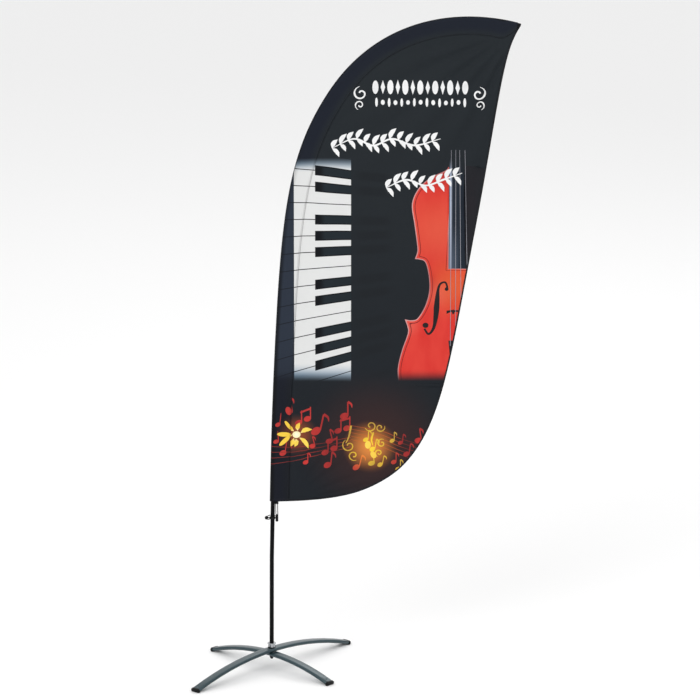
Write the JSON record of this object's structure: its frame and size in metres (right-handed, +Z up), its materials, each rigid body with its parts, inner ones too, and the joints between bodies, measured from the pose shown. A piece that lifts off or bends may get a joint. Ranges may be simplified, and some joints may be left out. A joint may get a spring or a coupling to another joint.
{
  "type": "teardrop flag on a cross base",
  "caption": "Free-standing teardrop flag: a bent pole that turns on a ball-bearing spindle over two crossed, folding legs, with a printed flag held by an elastic cord.",
  "frame": {"origin": "on the floor, under the middle of the object's box; the spindle's axis stands 0.3045 m towards -X of it", "axes": "+Z up along the spindle; the flag lies in the XZ plane and the pole leans towards +X; +Y points behind the flag's printed front"},
  "size_m": [1.1888, 0.6022, 2.4457],
  "materials": {
    "leg_paint": "satin",
    "cap_plastic": "matte",
    "clip_plastic": "satin",
    "washer_rubber": "matte",
    "washer_nylon": "satin",
    "zinc_steel": "satin",
    "bearing_steel": "polished",
    "chrome": "polished",
    "fibreglass": "satin",
    "ferrule_metal": "satin",
    "printed_cloth": "matte",
    "sleeve_cloth": "matte",
    "webbing": "matte",
    "elastic": "matte"
  },
  "bodies": {
    "stand": {"lower_leg": "leg_paint", "foot_cap_front_right": "cap_plastic", "foot_cap_back_left": "cap_plastic", "nut_washer": "zinc_steel", "cap_nut": "zinc_steel", "hub_stud": "zinc_steel", "leg_washer": "washer_nylon", "base_washer": "washer_rubber", "bearing_housing": "chrome", "bearing_outer_race": "bearing_steel"},
    "swing_leg": {"upper_leg": "leg_paint", "foot_cap_front_left": "cap_plastic", "foot_cap_back_right": "cap_plastic"},
    "ball_ring": {"bearing_ball_1": "bearing_steel", "bearing_ball_2": "bearing_steel", "bearing_ball_3": "bearing_steel", "bearing_ball_4": "bearing_steel", "bearing_ball_5": "bearing_steel", "bearing_ball_6": "bearing_steel", "bearing_ball_7": "bearing_steel"},
    "rotor": {"spindle": "chrome", "bearing_inner_race": "bearing_steel", "retaining_ring": "zinc_steel"},
    "pole": {"pole_base_section": "fibreglass", "pole_second_section": "fibreglass", "pole_third_section": "fibreglass", "pole_tip_section": "fibreglass", "pole_ferrule_1": "ferrule_metal", "pole_ferrule_2": "ferrule_metal", "pole_ferrule_3": "ferrule_metal", "pole_tip_cap": "clip_plastic", "flag_panel": "printed_cloth", "pole_sleeve": "sleeve_cloth", "edge_binding": "webbing", "tip_pocket": "webbing", "corner_tab": "webbing", "hook_clip": "clip_plastic", "cord_lock_body": "clip_plastic", "cord_lock_spring": "zinc_steel", "tension_cord": "elastic"},
    "lock_button": {"cord_lock_button": "clip_plastic"}
  },
  "joints": [
    {"name": "leg_fold", "type": "hinge", "parent": "stand", "child": "swing_leg", "pos_m": [-0.30451, 0, 0.071], "axis": [0, 0, 1], "range_deg": [-90, 90]},
    {"name": "pole_spin", "type": "hinge", "parent": "stand", "child": "rotor", "pos_m": [-0.30451, 0, 0.08935], "axis": [0, 0, 1], "continuous": true},
    {"name": "ball_orbit", "type": "hinge", "parent": "stand", "child": "ball_ring", "pos_m": [-0.30451, 0, 0.08935], "axis": [0, 0, 1], "continuous": true},
    {"name": "pole_lift", "type": "slide", "parent": "rotor", "child": "pole", "axis": [0, 0, 1], "range_m": [0, 0.12]},
    {"name": "button_press", "type": "slide", "parent": "pole", "child": "lock_button", "axis": [0, 0, -1], "range_m": [0, 0.0025], "stiffness_N_per_m": 400, "springref_m": -0.004, "deforming": ["cord_lock_spring"]}
  ],
  "couplings": [
    {"joint": "ball_orbit", "follows": "pole_spin", "ratio": 0.4082}
  ]
}
